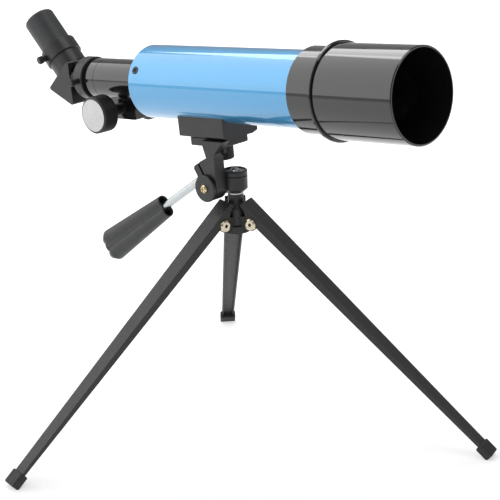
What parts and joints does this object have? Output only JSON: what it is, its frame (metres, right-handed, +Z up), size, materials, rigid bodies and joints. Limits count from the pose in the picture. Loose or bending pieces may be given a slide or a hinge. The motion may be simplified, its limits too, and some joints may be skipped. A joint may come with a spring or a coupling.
{
  "type": "tabletop telescope on tripod",
  "caption": "Small refracting telescope with a rack and pinion focuser, star diagonal and eyepiece, on a pan and tilt head over a folding table tripod.",
  "frame": {"origin": "on the ground, under the middle of the bounding box", "axes": "+Z up, +X the way the telescope looks, the pan handle on the -Y side"},
  "size_m": [0.4236, 0.3426, 0.3154],
  "materials": {
    "tube_blue": "glossy metallic paint",
    "gloss_black": "polished",
    "satin_black": "satin moulded",
    "knob_black": "fine straight knurl",
    "cap_white": "smooth",
    "eyepiece_black": "fine matte",
    "barrel_metal": "bright plated",
    "anodised_black": "black anodised",
    "crown_glass": "coated and polished",
    "flint_glass": "polished",
    "nylon": "moulded",
    "steel": "zinc plated",
    "black_screw": "black oxide",
    "brass": "turned",
    "rivet_brass": "bright",
    "head_black": "fine grain",
    "cap_metal": "turned",
    "rod_aluminium": "satin",
    "grip_black": "matte",
    "crackle_black": "wrinkle texture",
    "boot_rubber": "matte"
  },
  "bodies": {
    "tripod_base": {"tripod_hub": "crackle_black", "pan_washer": "steel", "pan_screw": "steel"},
    "pan_post": {"pan_head": "head_black", "pan_cap": "cap_metal", "tilt_cap": "head_black", "tilt_screw": "brass"},
    "telescope": {"optical_tube": "tube_blue", "lens_cell": "gloss_black", "dew_shield": "gloss_black", "objective_crown": "crown_glass", "objective_flint": "flint_glass", "lens_retainer": "anodised_black", "tube_baffle": "anodised_black", "focuser_housing": "satin_black", "focuser_end_cap": "satin_black", "tube_screws": "black_screw", "pinion_cover": "satin_black", "pinion_cover_screws": "steel", "saddle_block": "satin_black", "saddle_screws": "steel", "saddle_insert": "brass", "tilt_arm": "head_black"},
    "camera_fastener": {"camera_screw": "steel", "camera_wheel": "knob_black"},
    "pan_handle": {"handle_rod": "rod_aluminium", "handle_grip": "grip_black"},
    "focus_drive": {"pinion_shaft": "steel", "pinion_gear": "nylon", "focus_knob_left": "knob_black", "focus_knob_right": "knob_black", "knob_cap_left": "cap_white", "knob_cap_right": "cap_white"},
    "draw_assembly": {"draw_tube": "anodised_black", "focus_rack": "nylon", "draw_tube_collar": "satin_black"},
    "draw_lock": {"draw_tube_thumbscrew": "knob_black"},
    "star_diagonal": {"diagonal_barrel": "barrel_metal", "diagonal_housing": "satin_black", "diagonal_cover": "satin_black", "diagonal_prism": "flint_glass", "eyepiece_holder": "satin_black"},
    "eyepiece_lock": {"eyepiece_thumbscrew": "knob_black"},
    "eyepiece": {"eyepiece_body": "eyepiece_black", "eyepiece_barrel": "barrel_metal", "eye_lens": "flint_glass", "field_lens": "flint_glass"},
    "leg_1": {"tripod_leg_1": "crackle_black", "leg_rivet_1": "rivet_brass", "leg_foot_1": "boot_rubber"},
    "leg_2": {"tripod_leg_2": "crackle_black", "leg_rivet_2": "rivet_brass", "leg_foot_2": "boot_rubber"},
    "leg_3": {"tripod_leg_3": "crackle_black", "leg_rivet_3": "rivet_brass", "leg_foot_3": "boot_rubber"}
  },
  "joints": [
    {"name": "pan", "type": "hinge", "parent": "tripod_base", "child": "pan_post", "pos_m": [0.0155, 0.02998, 0.18606], "axis": [0, 0, 1], "continuous": true},
    {"name": "tilt", "type": "hinge", "parent": "pan_post", "child": "telescope", "pos_m": [0.0057, 0.02998, 0.18856], "axis": [0, -1, 0], "range_deg": [-30, 35]},
    {"name": "handle_turn", "type": "hinge", "parent": "telescope", "child": "pan_handle", "pos_m": [0.01145, 0.01508, 0.204], "axis": [-0.8171, 0, -0.5764], "continuous": true},
    {"name": "camera_wheel_turn", "type": "hinge", "parent": "telescope", "child": "camera_fastener", "pos_m": [0.0029, 0.02998, 0.20657], "axis": [-0.0993, 0, 0.9951], "continuous": true},
    {"name": "focus_turn", "type": "hinge", "parent": "telescope", "child": "focus_drive", "pos_m": [-0.10298, -0.00092, 0.23027], "axis": [0, -1, 0], "range_deg": [-40.26, 329.92]},
    {"name": "focus_slide", "type": "slide", "parent": "telescope", "child": "draw_assembly", "axis": [-0.9951, 0, -0.0993], "range_m": [-0.0037, 0.031]},
    {"name": "draw_lock_turn", "type": "hinge", "parent": "draw_assembly", "child": "draw_lock", "pos_m": [-0.14021, 0.01763, 0.24886], "axis": [0, -1, 0], "continuous": true},
    {"name": "diagonal_turn", "type": "hinge", "parent": "draw_assembly", "child": "star_diagonal", "pos_m": [-0.15235, 0.02998, 0.24765], "axis": [0.9951, 0, 0.0993], "continuous": true},
    {"name": "eyepiece_lock_turn", "type": "hinge", "parent": "star_diagonal", "child": "eyepiece_lock", "pos_m": [-0.17995, 0.01805, 0.26253], "axis": [-0.1791, -0.9659, -0.1868], "continuous": true},
    {"name": "eyepiece_slide", "type": "slide", "parent": "star_diagonal", "child": "eyepiece", "axis": [-0.7218, 0, 0.6921], "range_m": [0, 0.016]},
    {"name": "leg_1_fold", "type": "hinge", "parent": "tripod_base", "child": "leg_1", "pos_m": [0.03024, 0.03477, 0.16106], "axis": [-0.309, 0.9511, 0], "range_deg": [0, 48]},
    {"name": "leg_2_fold", "type": "hinge", "parent": "tripod_base", "child": "leg_2", "pos_m": [0.00398, 0.04035, 0.16106], "axis": [-0.6691, -0.7431, 0], "range_deg": [0, 48]},
    {"name": "leg_3_fold", "type": "hinge", "parent": "tripod_base", "child": "leg_3", "pos_m": [0.01228, 0.01482, 0.16106], "axis": [0.9781, -0.2079, 0], "range_deg": [0, 48]}
  ],
  "couplings": [
    {"joint": "focus_turn", "follows": "focus_slide", "rad_per_m": 185.19}
  ]
}
